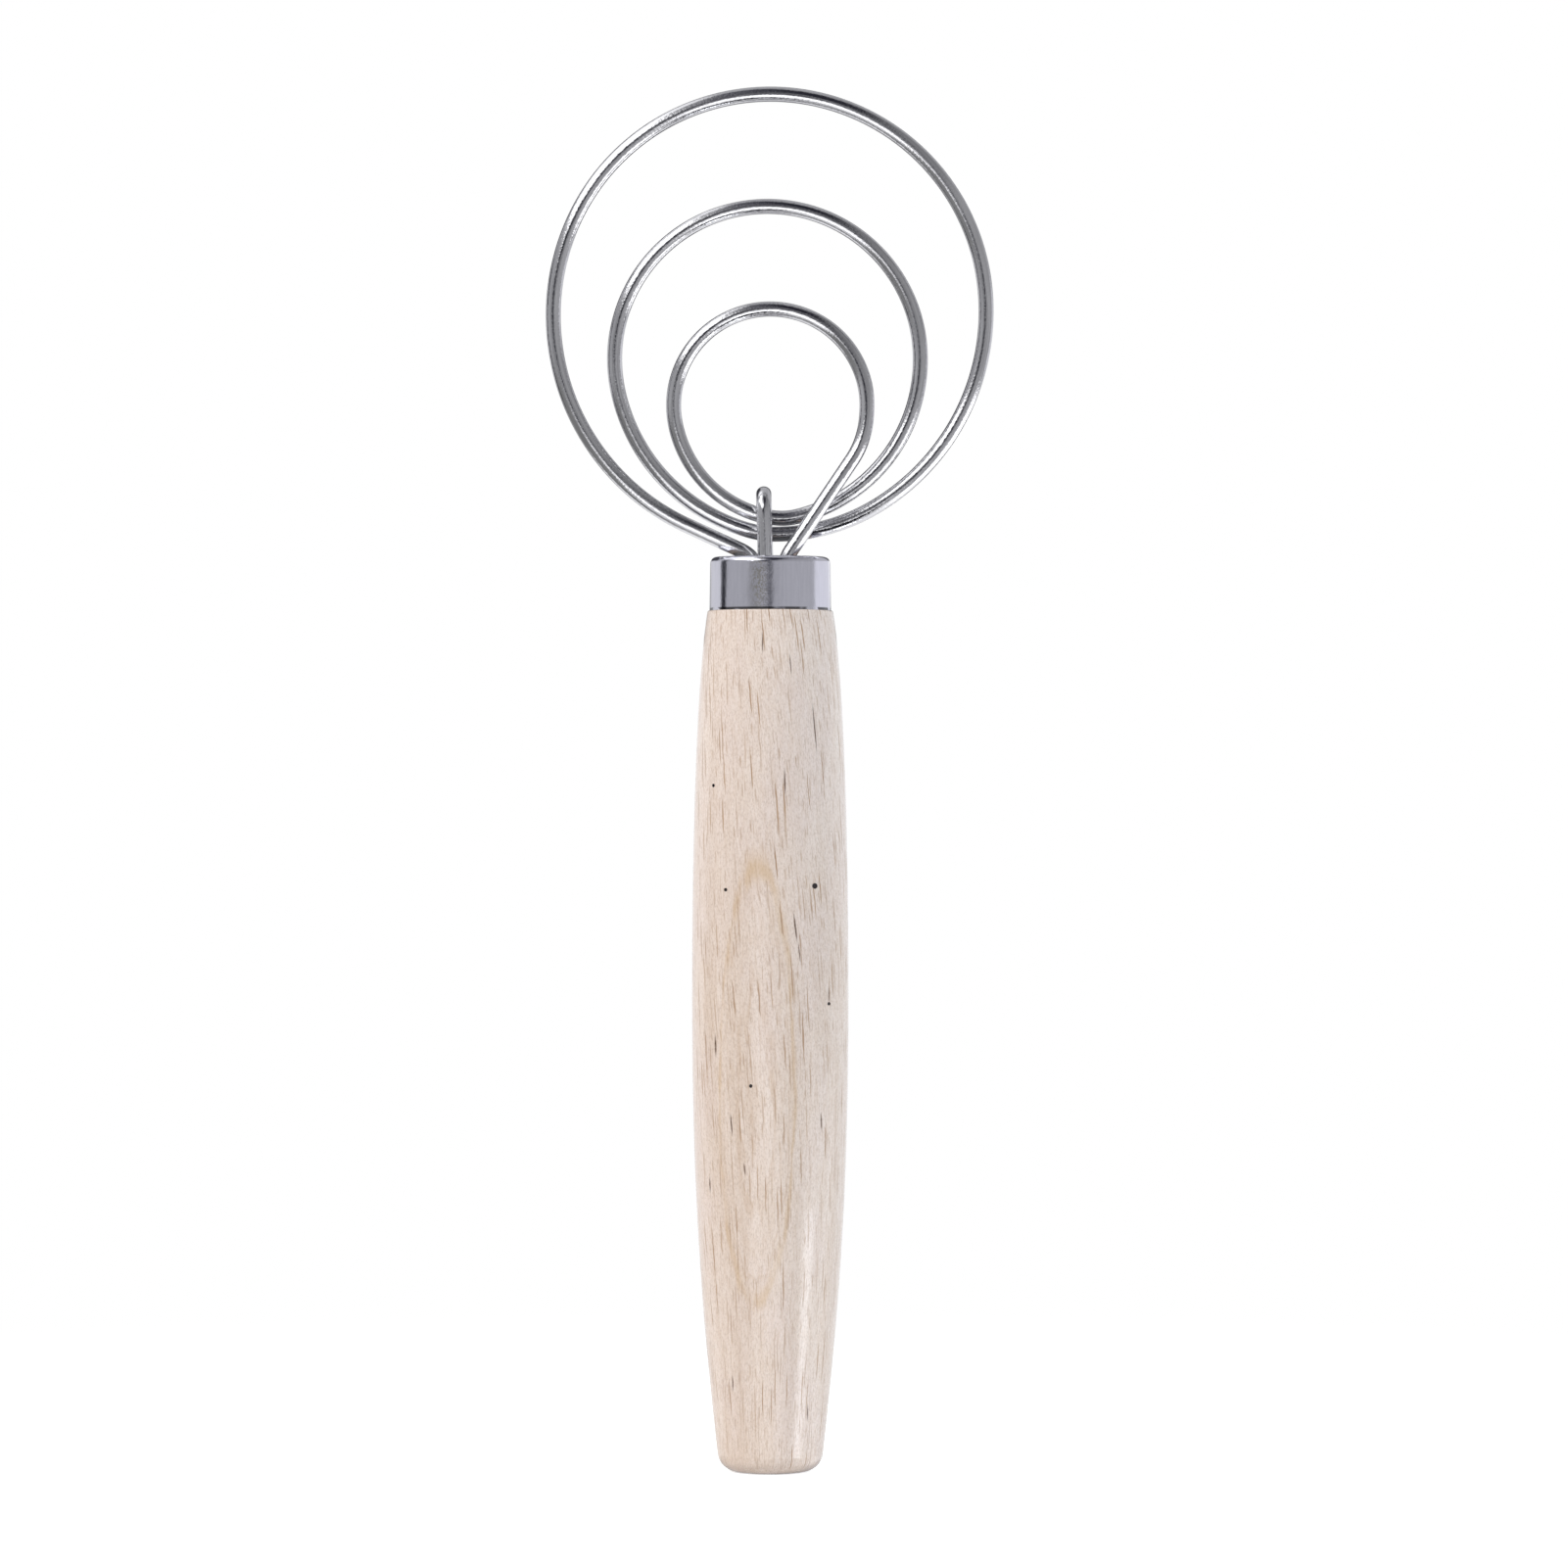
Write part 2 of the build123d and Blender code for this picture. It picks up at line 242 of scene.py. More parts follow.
def whisk_route():
    """The wire's centre line, from the socket round the three eyes, outer one first, and back into it."""
    plane = TippedPlane(OUTER_CROWN, OUTER_TAIL_CORNER, OUTER_CROWN)
    corner = plane.flatten(OUTER_TAIL_CORNER)
    crown_centre = Vector((0, -OUTER_CROWN_RADIUS))
    start_angle = 90 + RUN_IN_CROWN_TURN
    start = crown_centre + along(start_angle, OUTER_CROWN_RADIUS)
    inward = along(start_angle + 180, 1)
    to_corner = corner - start
    radius = RUN_IN_SHARE * to_corner.length_squared / (2 * to_corner.dot(inward))
    flank_centre = start + inward * radius
    end_angle = touch_angle(flank_centre, radius, corner, -1) % 360
    run_in_end = plane.place(flank_centre + along(end_angle, radius))
    tail_foot = Vector((OUTER_TAIL_CORNER.x, OUTER_TAIL_CORNER.y, TAIL_END))
    run_in = arc(plane, crown_centre, OUTER_CROWN_RADIUS, 90, RUN_IN_CROWN_TURN)
    run_in += arc(plane, flank_centre, radius, start_angle, end_angle - start_angle)

    exit_plane = TippedPlane(INNER_CROWN, INNER_TAIL_CORNER, INNER_CROWN)
    exit_corner = exit_plane.flatten(INNER_TAIL_CORNER)
    exit_crown_centre = Vector((0, -INNER_CROWN_RADIUS))
    exit_flank_centre = exit_crown_centre + Vector((INNER_CROWN_RADIUS - EXIT_FLANK_RADIUS, 0))
    bend_start = exit_flank_centre + along(-EXIT_FLANK_TURN, EXIT_FLANK_RADIUS)
    bend_centre = bend_start - along(-EXIT_FLANK_TURN, EXIT_BEND)
    exit_end_angle = touch_angle(bend_centre, EXIT_BEND, exit_corner, 1)
    exit_end = exit_plane.place(bend_centre + along(exit_end_angle, EXIT_BEND))
    inner_foot = Vector((INNER_TAIL_CORNER.x, INNER_TAIL_CORNER.y, TAIL_END))

    right_outer = (OUTER_CROWN, OUTER_CROWN_RADIUS, LOWER_RIGHT_HEEL_TURN, OUTER_CROWN_TURN, 1)
    left_middle = (MIDDLE_CROWN, MIDDLE_CROWN_RADIUS, LOWER_LEFT_HEEL_TURN, MIDDLE_RISE_CROWN_TURN, -1)
    right_middle = (MIDDLE_CROWN, MIDDLE_CROWN_RADIUS, UPPER_HEEL_TURN, MIDDLE_FALL_CROWN_TURN, 1)
    left_inner = (INNER_CROWN, INNER_CROWN_RADIUS, UPPER_HEEL_TURN, INNER_CROWN_TURN, -1)
    return joined(
        [tail_foot],
        bend(tail_foot, OUTER_TAIL_CORNER, run_in_end, OUTER_TAIL_BEND),
        run_in[::-1],
        half_eye(LOWER_PASS, *right_outer)[::-1],
        half_eye(LOWER_PASS, *left_middle),
        half_eye(UPPER_PASS, *right_middle)[::-1],
        half_eye(UPPER_PASS, *left_inner),
        arc(exit_plane, exit_crown_centre, INNER_CROWN_RADIUS, 90, -90),
        arc(exit_plane, exit_flank_centre, EXIT_FLANK_RADIUS, 0, -EXIT_FLANK_TURN),
        arc(exit_plane, bend_centre, EXIT_BEND, -EXIT_FLANK_TURN, exit_end_angle + EXIT_FLANK_TURN),
        bend(exit_end, INNER_TAIL_CORNER, inner_foot, INNER_TAIL_BEND),
        [inner_foot],
    )


def staple_route():
    """The staple's centre line: up the front leg, over and down the back leg, all leaning a little."""
    lean = math.radians(STAPLE_LEAN)
    up = Vector((-math.sin(lean), 0, math.cos(lean)))

    def place(y, height):
        return Vector((-STAPLE_SHIFT, y, FERRULE_TOP)) + up * height

    count = math.ceil(math.pi * STAPLE_SPREAD / POINT_STEP)
    turns = [along(180 - 180 * k / count, STAPLE_SPREAD) for k in range(count + 1)]
    over = [place(step.x, STAPLE_SHOULDER + step.y) for step in turns]
    return joined([place(-STAPLE_SPREAD, STAPLE_FOOT)], over, [place(STAPLE_SPREAD, STAPLE_FOOT)])


def put(name, data):
    """A new object in the scene."""
    thing = bpy.data.objects.new(name, data)
    bpy.context.scene.collection.objects.link(thing)
    return thing


def swept_bar(name, route, radius):
    """A round bar along a route. In BAR_SPACE the bar isn't bent and runs along Z."""
    count = len(route)
    around_each = [(route[max(k - 1, 0)], route[min(k + 1, count - 1)]) for k in range(count)]
    ahead = [(after - before).normalized() for before, after in around_each]
    side = ahead[0].orthogonal().normalized()
    verts, unbent, travelled = [], [], 0.0
    for k, (point, tangent) in enumerate(zip(route, ahead)):
        side = (side - tangent * side.dot(tangent)).normalized()
        other = tangent.cross(side)
        if k:
            travelled += (point - route[k - 1]).length
        for j in range(AROUND):
            turn = 2 * math.pi * j / AROUND
            across = Vector((math.cos(turn), math.sin(turn), 0)) * radius
            verts.append((point + side * across.x + other * across.y) * MM)
            unbent.append((across + Vector((0, 0, travelled))) * MM)
    faces = []
    for k in range(count - 1):
        for j in range(AROUND):
            a, b = k * AROUND + j, k * AROUND + (j + 1) % AROUND
            faces.append((a, b, b + AROUND, a + AROUND))
    faces.append(tuple(range(AROUND))[::-1])
    faces.append(tuple(range((count - 1) * AROUND, count * AROUND)))
    mesh = bpy.data.meshes.new(name)
    mesh.from_pydata(verts, [], faces)
    mesh.polygons.foreach_set("use_smooth", [True] * (len(faces) - 2) + [False, False])
    attribute = mesh.attributes.new(BAR_SPACE, "FLOAT_VECTOR", "POINT")
    attribute.data.foreach_set("vector", [x for point in unbent for x in point])
    mesh.update()
    return put(name, mesh)


# Materials


class NodeWork:
    """Adds nodes to the tree of a material or a world, one by one, and joins them."""

    def __init__(self, owner):
        owner.use_nodes = True
        self.tree = owner.node_tree
        self.tree.nodes.clear()

    def add(self, kind, **settings):
        node = self.tree.nodes.new(kind)
        for key, value in settings.items():
            setattr(node, key, value)
        return node

    def join(self, source, target):
        """Joins a socket, or sets a plain value."""
        if isinstance(source, bpy.types.NodeSocket):
            self.tree.links.new(source, target)
        else:
            target.default_value = source

    def fill(self, node, *values):
        """Joins or sets a node's first inputs, in order."""
        for value, socket in zip(values, node.inputs):
            self.join(value, socket)
        return node.outputs

    def tint(self, colour, target):
        """Joins a colour, or sets a plain one."""
        self.join(colour if isinstance(colour, bpy.types.NodeSocket) else (*colour, 1.0), target)

    def math(self, operation, *values):
        return self.fill(self.add("ShaderNodeMath", operation=operation), *values)[0]

    def chain(self, operation, values):
        """One operation carried from the first value to the last."""
        result, *others = values
        for value in others:
            result = self.math(operation, result, value)
        return result

    def product(self, *values):
        return self.chain("MULTIPLY", values)

    def total(self, *values):
        return self.chain("ADD", values)

    def less(self, value, taken):
        return self.math("SUBTRACT", value, taken)

    def largest(self, values):
        return self.chain("MAXIMUM", values)

    def weigh(self, *pairs):
        """The sum of several values, each times its weight."""
        return self.total(*(self.product(value, weight) for value, weight in pairs))

    def vector(self, operation, *values):
        """A vector sum. Its outputs are the vector and, for a length, the value."""
        return self.fill(self.add("ShaderNodeVectorMath", operation=operation), *values)

    def stretch(self, vector, factors):
        return self.vector("MULTIPLY", vector, factors)["Vector"]

    def shift(self, vector, by):
        return self.vector("ADD", vector, by)["Vector"]

    def length(self, vector):
        return self.vector("LENGTH", vector)["Value"]

    def split(self, vector):
        return self.fill(self.add("ShaderNodeSeparateXYZ"), vector)

    def pack(self, x, y, z):
        return self.fill(self.add("ShaderNodeCombineXYZ"), x, y, z)[0]

    def place(self, attribute=None):
        """Millimetres in the object's own frame, or in the space that an attribute holds."""
        if attribute:
            source = self.add("ShaderNodeAttribute", attribute_name=attribute).outputs["Vector"]
        else:
            source = self.add("ShaderNodeTexCoord").outputs["Object"]
        return self.stretch(source, (1 / MM, 1 / MM, 1 / MM))

    def noise(self, vector, size, detail=2.0, roughness=0.5):
        """Noise with features of about the given size on each axis, in millimetres."""
        node = self.add("ShaderNodeTexNoise")
        self.join(self.stretch(vector, tuple(1 / s for s in size)), node.inputs["Vector"])
        self.join(1.0, node.inputs["Scale"])
        self.join(detail, node.inputs["Detail"])
        self.join(roughness, node.inputs["Roughness"])
        return node.outputs["Fac"]

    def cells(self, vector, dimensions, scale=1.0):
        """Cells round scattered points: how near the point is, and a colour of each cell's own."""
        node = self.add("ShaderNodeTexVoronoi", feature="F1", voronoi_dimensions=dimensions)
        self.join(vector, node.inputs["Vector"])
        self.join(scale, node.inputs["Scale"])
        return node.outputs

    def span(self, value, low, high, to_low=0.0, to_high=1.0, smooth=True):
        """The value carried from one span to another and held at its ends."""
        node = self.add("ShaderNodeMapRange", interpolation_type="SMOOTHSTEP" if smooth else "LINEAR")
        return self.fill(node, value, low, high, to_low, to_high)[0]

    def sway(self, noise, most):
        """Noise carried to a swing of up to a distance either way."""
        return self.span(noise, 0.2, 0.8, -most, most, smooth=False)

    def blend(self, factor, first, second):
        """A colour between two."""
        node = self.add("ShaderNodeMix", data_type="RGBA", blend_type="MIX")
        self.join(factor, node.inputs["Factor"])
        colours = [socket for socket in node.inputs if socket.type == "RGBA"]
        self.tint(first, colours[0])
        self.tint(second, colours[1])
        return next(socket for socket in node.outputs if socket.type == "RGBA")

    def bump(self, height, depth, normal=None):
        """A bump whose height of 1 stands for a depth in millimetres."""
        node = self.add("ShaderNodeBump")
        self.join(1.0, node.inputs["Strength"])
        self.join(depth * MM, node.inputs["Distance"])
        self.join(height, node.inputs["Height"])
        if normal is not None:
            self.join(normal, node.inputs["Normal"])
        return node.outputs["Normal"]

    def near(self, vector, point, radii, core=0.0):
        """1 out to a share of the given distances from a point on each axis, falling to 0 at them."""
        offset = self.shift(vector, tuple(-c for c in point))
        distance = self.length(self.stretch(offset, tuple(1 / r for r in radii)))
        return self.span(distance, core, 1.0, 1.0, 0.0)

    def shine(self, kind, colour, strength=1.0):
        """A shader that gives light: an emission or a background."""
        node = self.add(kind)
        self.tint(colour, node.inputs["Color"])
        self.join(strength, node.inputs["Strength"])
        return node.outputs[0]

    def mix(self, factor, first, second):
        """A shader between two."""
        return self.fill(self.add("ShaderNodeMixShader"), factor, first, second)[0]

    def end(self, kind, surface):
        """Joins the last shader to the tree's output."""
        self.join(surface, self.add(kind).inputs["Surface"])


class Finish(NodeWork):
    """A material with one shader, whose sockets are set by name."""

    def __init__(self, name):
        self.material = bpy.data.materials.new(name)
        super().__init__(self.material)
        self.surface = self.add("ShaderNodeBsdfPrincipled")
        self.end("ShaderNodeOutputMaterial", self.surface.outputs["BSDF"])

    def set(self, **values):
        """Sets the shader's sockets. Underscores stand for spaces."""
        for key, value in values.items():
            self.join(value, self.surface.inputs[key.replace("_", " ")])


# How deep the drawn wire's marks are, and the ferrule's hairlines, mottling and dents
WIRE_MARK_DEPTH = 0.038
HAIRLINE_DEPTH = 0.004
MOTTLE_DEPTH = 0.012
DENT_DEPTH = 0.03
# The mottled patch on the ferrule's left front: its middle and how far it reaches
STAIN_MIDDLE = (-1.7, -9.4, 141.0)
STAIN_REACH = (2.2, 2.5, 8.0)
# The dark line along the ferrule's foot, painted shade of the gap between ferrule and wood with some grime:
# where it starts to fade, and where it ends
FOOT_SHADE_FADE = HANDLE_LENGTH + 0.3
FOOT_SHADE_END = HANDLE_LENGTH + 0.5


def drawn_steel(look):
    """Bright drawn wire: fine lines along the bar, small pits and a changing polish."""
    finish = Finish("drawn_steel")
    bar = finish.place(BAR_SPACE)
    lines = finish.noise(bar, (0.20, 0.20, 14.0), detail=3.0)
    broad = finish.noise(bar, (0.9, 0.9, 9.0))
    pits = finish.noise(bar, (0.26, 0.26, 0.42), roughness=0.6)
    polish = finish.noise(bar, (2.0, 2.0, 5.0))
    shade = finish.weigh((lines, 0.6), (broad, 0.4))
    smooth = finish.span(polish, 0.3, 0.7, 0.05, 0.11)
    pitted = finish.span(pits, 0.5, 0.75, 0.0, 0.08)
    finish.set(
        Base_Color=finish.blend(finish.span(shade, 0.35, 0.65), look.steel_dark, look.steel_light),
        Metallic=1.0,
        Roughness=finish.total(smooth, pitted),
        Normal=finish.bump(finish.weigh((lines, 0.35), (pits, 0.65)), WIRE_MARK_DEPTH),
    )
    return finish.material


def pressed_steel(look):
    """The ferrule's steel: hairlines, drawing marks and dents, a mottled patch, and a dark foot line of
    painted gap shadow with some grime.
    """
    finish = Finish("pressed_steel")
    place = finish.place()
    marks = finish.noise(place, (0.35, 0.35, 5.0), detail=3.0)
    hairlines = finish.noise(place, (7.0, 7.0, 0.09), detail=3.0)
    dents = finish.noise(place, (2.2, 2.2, 3.0), detail=1.0)
    cloud = finish.noise(place, (1.1, 1.1, 1.6), detail=4.0, roughness=0.6)
    mottle = finish.noise(place, (0.28, 0.28, 0.45), detail=3.0, roughness=0.65)
    patches = finish.noise(place, (3.0, 3.0, 3.0), detail=1.0)

    stain = finish.near(place, STAIN_MIDDLE, STAIN_REACH)
    stain = finish.product(stain, finish.span(mottle, 0.44, 0.56))
    # Painted shade: a dark line at the foot, where the ferrule meets the wood, with some grime, broken up in
    # patches
    foot = finish.span(finish.split(place)[2], FOOT_SHADE_FADE, FOOT_SHADE_END, 1.0, 0.0)
    foot = finish.product(foot, finish.span(patches, 0.42, 0.52))
    colour = finish.blend(finish.span(marks, 0.3, 0.7, 0.3, 0.7), look.ferrule_dark, look.ferrule_light)
    colour = finish.blend(finish.product(stain, 0.85), colour, look.steel_stain)
    colour = finish.blend(finish.product(foot, 0.9), colour, look.foot_shade_grime)

    clouded = finish.span(cloud, 0.3, 0.7, 0.07, 0.15)
    scratched = finish.span(hairlines, 0.5, 0.8, 0.0, 0.08)
    uneven = finish.bump(mottle, MOTTLE_DEPTH, finish.bump(dents, DENT_DEPTH))
    finish.set(
        Base_Color=colour,
        Metallic=1.0,
        Roughness=finish.total(clouded, scratched, finish.product(stain, 0.12)),
        Normal=finish.bump(finish.weigh((marks, 0.35), (hairlines, 0.65)), HAIRLINE_DEPTH, uneven),
    )
    return finish.material


# The grain: how it leans towards the neck, how far it wanders and shakes sideways, and how much closer it
# lies past the oval's ends, this far from its middle
GRAIN_LEAN = 0.0004
GRAIN_WANDER = 0.9
GRAIN_SHAKE = 0.07
GRAIN_BOW = 1.4
GRAIN_BOW_REACH = 42.0
# The growth rings: the pith's place behind the handle at the oval's middle, how far it moves and how much
# the rings open for each millimetre up, how the oval closes at its ends, how the rings wobble and how wide
# they are
PITH = (5.73, 30.0)
PITH_LEAN = 0.02
RINGS_OPEN = 0.019
OVAL_CLOSE = 8.2e-6
RING_WOBBLE = 0.14
RING_WIDTH = 0.3
# The oval's middle along the handle, and how far its edge is from the pith
OVAL_MIDDLE = 63.3
OVAL_EDGE = 41.81
# The amber patch above the oval: its middle and how far it reaches
AMBER_MIDDLE = (-2.0, -12.2, 96.2)
AMBER_REACH = (3.6, 3.0, 4.2)
# About the handle's mean radius, on which its surface is unrolled for the strokes
UNROLLED_RADIUS = 11.5
# Layers of strokes, a dense one, a sparse long one and one of short pores: how far the layer is moved,
# the width and length of a cell, how much of its cell a stroke fills, and how dark it is
STROKE_LAYERS = (
    ((0.0, 0.0, 0.0), (0.64, 18.0), 0.20, 0.95),
    ((31.0, 17.0, 0.0), (1.30, 52.0), 0.10, 1.00),
    ((13.0, 41.0, 0.0), (0.55, 6.0), 0.21, 0.55),
)
# Dark specks: middle, half width and half height
SPECKS = (
    ((7.02, -9.86, 93.1), 0.50, 0.52),
    ((-7.0, -9.86, 92.5), 0.31, 0.34),
    ((9.26, -8.3, 74.5), 0.28, 0.30),
    ((-3.04, -12.05, 61.7), 0.30, 0.34),
    ((-8.95, -7.85, 108.9), 0.26, 0.32),
    ((-6.38, -10.6, 39.9), 0.26, 0.30),
)
# Dark streaks: middle, lean, half width and half height
STREAKS = (
    ((3.97, -11.7, 86.6), 0.12, 0.20, 2.9),
    ((4.6, -11.5, 82.6), 0.11, 0.12, 2.0),
    ((-8.6, -8.9, 67.9), 0.03, 0.20, 2.2),
    ((-6.1, -10.7, 55.6), 0.09, 0.17, 2.2),
    ((8.05, -9.35, 56.0), 0.04, 0.18, 1.8),
    ((-4.0, -11.2, 48.6), 0.10, 0.18, 1.3),
    ((9.25, -8.2, 75.9), 0.02, 0.12, 1.6),
    ((-1.2, -11.3, 131.4), 0.0, 0.14, 2.3),
    ((3.2, -11.3, 128.0), 0.08, 0.15, 2.2),
    ((7.0, -9.3, 118.0), 0.09, 0.15, 5.0),
    ((2.3, -11.8, 109.5), 0.02, 0.16, 2.8),
    ((-9.5, -6.6, 45.9), 0.04, 0.14, 1.6),
    ((-5.9, -7.8, 14.6), 0.03, 0.14, 1.6),
    ((5.9, -7.8, 9.8), 0.0, 0.15, 1.8),
)
# How far specks and streaks reach inwards
SPECK_DEPTH_SHARE = 4
STREAK_DEPTH = 3.0
# How deep the marks in the wood are, and the unevenness of the lacquer over them
WOOD_MARK_DEPTH = 0.03
LACQUER_MARK_DEPTH = 0.028


def growth_rings(finish, place, grain):
    """How dark the late wood of each ring is, and how strong the oval's amber edge.

    The rings lie round a far pith, and the belly cuts them into a tall oval on the front.
    """
    x, y, z = finish.split(place)
    above = finish.less(z, OVAL_MIDDLE)
    across = finish.less(finish.total(x, finish.product(above, PITH_LEAN)), PITH[0])
    from_pith = finish.length(finish.pack(across, finish.less(y, PITH[1]), 0.0))
    closing = finish.product(finish.math("POWER", finish.math("ABSOLUTE", above), 3.0), OVAL_CLOSE)
    wobble = finish.sway(finish.noise(grain, (1.3, 1.3, 9.0), detail=3.0), RING_WOBBLE)
    depth = finish.less(finish.less(from_pith, finish.product(above, RINGS_OPEN)), closing)
    depth = finish.total(depth, wobble)
    count = finish.math("DIVIDE", finish.less(depth, OVAL_EDGE), RING_WIDTH)

    ring = finish.math("FRACT", count)
    chance = finish.add("ShaderNodeTexWhiteNoise", noise_dimensions="1D")
    finish.join(finish.math("FLOOR", count), chance.inputs["W"])
    fades = finish.span(finish.noise(place, (1.6, 1.6, 6.0)), 0.36, 0.6, 0.35, 1.0)
    late = finish.product(
        finish.span(ring, 0.45, 0.92),
        finish.span(ring, 0.92, 1.0, 1.0, 0.0),
        finish.span(chance.outputs["Value"], 0.1, 0.9, 0.3, 1.0),
        finish.span(depth, OVAL_EDGE - 0.15, OVAL_EDGE - 0.02),
        fades,
    )
    edge = finish.product(
        finish.span(depth, OVAL_EDGE - 0.20, OVAL_EDGE - 0.03),
        finish.span(depth, OVAL_EDGE, OVAL_EDGE + 0.20, 1.0, 0.0),
        fades,
    )
    return late, edge


def grain_strokes(finish, place, sideways):
    """The wood's vessels: dark strokes along the grain, laid on the unrolled surface."""
    x, y, z = finish.split(place)
    turn = finish.math("ARCTAN2", x, finish.product(y, -1.0))
    unrolled = finish.pack(finish.total(finish.product(turn, UNROLLED_RADIUS), sideways), z, 0.0)
    layers = []
    for moved, (width, length), share, dark in STROKE_LAYERS:
        flat = finish.stretch(finish.shift(unrolled, moved), (1 / width, 1 / length, 1.0))
        cells = finish.cells(flat, "2D")
        luck = finish.split(cells["Color"])[0]
        stroke = finish.span(cells["Distance"], 0.6 * share, share, 1.0, 0.0)
        chosen = finish.span(luck, 0.3, 0.95, 0.04 * dark, dark, smooth=False)
        layers.append(finish.product(stroke, chosen))
    clear_butt = finish.span(z, 0.4, 1.6)
    darker_neck = finish.span(z, 85.0, 130.0, 1.0, 1.2)
    return finish.product(finish.largest(layers), clear_butt, darker_neck)


def own_marks(finish, place):
    """The specks and the long streaks of this piece of wood."""
    x, y, z = finish.split(place)
    specks = [
        finish.near(place, point, (width, SPECK_DEPTH_SHARE * width, height), core=0.75)
        for point, width, height in SPECKS
    ]
    streaks = []
    for point, lean, width, height in STREAKS:
        tipped = finish.pack(finish.total(x, finish.product(z, lean)), y, z)
        middle = (point[0] + lean * point[2], point[1], point[2])
        streaks.append(finish.near(tipped, middle, (width, STREAK_DEPTH, height), core=0.35))
    return finish.largest(specks), finish.largest(streaks)


def lacquered_wood(look):
    """Pale close-grained hardwood under clear satin lacquer, turned with its grain along the handle."""
    finish = Finish("lacquered_wood")
    place = finish.place()
    x, y, z = finish.split(place)

    # The place carried along the grain
    lean = finish.product(z, z, GRAIN_LEAN)
    wander = finish.sway(finish.noise(place, (14.0, 14.0, 45.0), detail=1.0), GRAIN_WANDER)
    shake = finish.sway(finish.noise(place, (0.5, 0.5, 1.8), detail=1.0), GRAIN_SHAKE)
    sideways = finish.total(lean, wander, shake)
    from_middle = finish.math("ABSOLUTE", finish.less(z, OVAL_MIDDLE))
    bow = finish.span(from_middle, 0.0, GRAIN_BOW_REACH, 1.0, GRAIN_BOW)
    grain = finish.pack(finish.product(finish.total(x, sideways), bow), y, z)

    # Tones from broad to fine
    late, edge = growth_rings(finish, place, grain)
    strokes = grain_strokes(finish, place, sideways)
    bands = finish.noise(grain, (2.4, 2.4, 50.0), detail=3.0, roughness=0.55)
    clouds = finish.noise(place, (7.0, 7.0, 16.0))
    fibres = finish.noise(grain, (0.2, 0.2, 2.6), detail=3.0, roughness=0.65)
    flecks = finish.noise(grain, (0.26, 0.26, 0.5), roughness=0.65)
    patches = finish.noise(place, (1.5, 1.5, 6.0), detail=1.0)
    beige = finish.product(finish.span(bands, 0.3, 0.7, 0.35, 0.85), finish.span(z, 60.0, 125.0, 1.0, 0.3))
    colour = finish.blend(beige, look.wood_cream, look.wood_beige)
    colour = finish.blend(finish.span(clouds, 0.4, 0.7, 0.0, 0.4), colour, look.wood_pink)
    colour = finish.blend(finish.product(late, 0.45), colour, look.wood_tan)
    colour = finish.blend(finish.product(edge, 0.58), colour, look.wood_amber)
    colour = finish.blend(finish.span(fibres, 0.3, 0.62, 0.34, 0.0), colour, look.wood_tan)
    colour = finish.blend(finish.span(flecks, 0.42, 0.72, 0.0, 0.30), colour, look.wood_vessel)
    colour = finish.blend(strokes, colour, finish.blend(patches, look.wood_tan, look.wood_vessel))

    # Marks of this piece of wood
    amber = finish.near(place, AMBER_MIDDLE, AMBER_REACH)
    specks, streaks = own_marks(finish, place)
    broken = finish.span(flecks, 0.3, 0.6, 0.75, 1.0)
    colour = finish.blend(finish.product(amber, 0.45), colour, look.wood_amber)
    colour = finish.blend(finish.product(streaks, broken), colour, look.wood_streak)
    colour = finish.blend(specks, colour, look.wood_speck)

    satin = finish.noise(place, (0.45, 0.45, 1.6), detail=3.0)
    hollows = finish.total(strokes, finish.product(specks, 1.2))
    height = finish.less(finish.product(fibres, 0.3), hollows)
    finish.set(
        Base_Color=colour,
        Roughness=finish.total(finish.span(satin, 0.3, 0.7, 0.40, 0.52), finish.product(strokes, 0.15)),
        Normal=finish.bump(height, WOOD_MARK_DEPTH),
        Specular_IOR_Level=0.0,
        Coat_Weight=1.0,
        Coat_Roughness=finish.span(satin, 0.3, 0.7, 0.07, 0.15),
        Coat_IOR=1.5,
        Coat_Normal=finish.bump(finish.total(satin, height), LACQUER_MARK_DEPTH),
    )
    return finish.material


# The adhesive: how many cells with a pit there are to the millimetre, and how deep its marks are
PITS_PER_MM = 0.9
ADHESIVE_MARK_DEPTH = 0.08


def set_adhesive(look):
    """Hard filled adhesive: dull, sandy and a little pitted."""
    finish = Finish("set_adhesive")
    place = finish.place()
    grit = finish.noise(place, (0.35, 0.35, 0.35), detail=4.0, roughness=0.65)
    tone = finish.noise(place, (2.4, 2.4, 2.4))
    pits = finish.span(finish.cells(place, "3D", PITS_PER_MM)["Distance"], 0.10, 0.22, 1.0, 0.0)
    colour = finish.blend(finish.span(tone, 0.3, 0.7), look.adhesive_light, look.adhesive_dark)
    finish.set(
        Base_Color=finish.blend(finish.product(pits, 0.6), colour, look.adhesive_pit),
        Roughness=finish.span(grit, 0.3, 0.7, 0.45, 0.7),
        Normal=finish.bump(finish.less(grit, finish.product(pits, 1.5)), ADHESIVE_MARK_DEPTH),
    )
    return finish.material


def dress(obj, material):
    """Puts one material on all of a piece."""
    if obj.data.materials:
        for k in range(len(obj.data.materials)):
            obj.data.materials[k] = material
    else:
        obj.data.materials.append(material)


# Studio

TENT_GREY = (0.42, 0.42, 0.435)
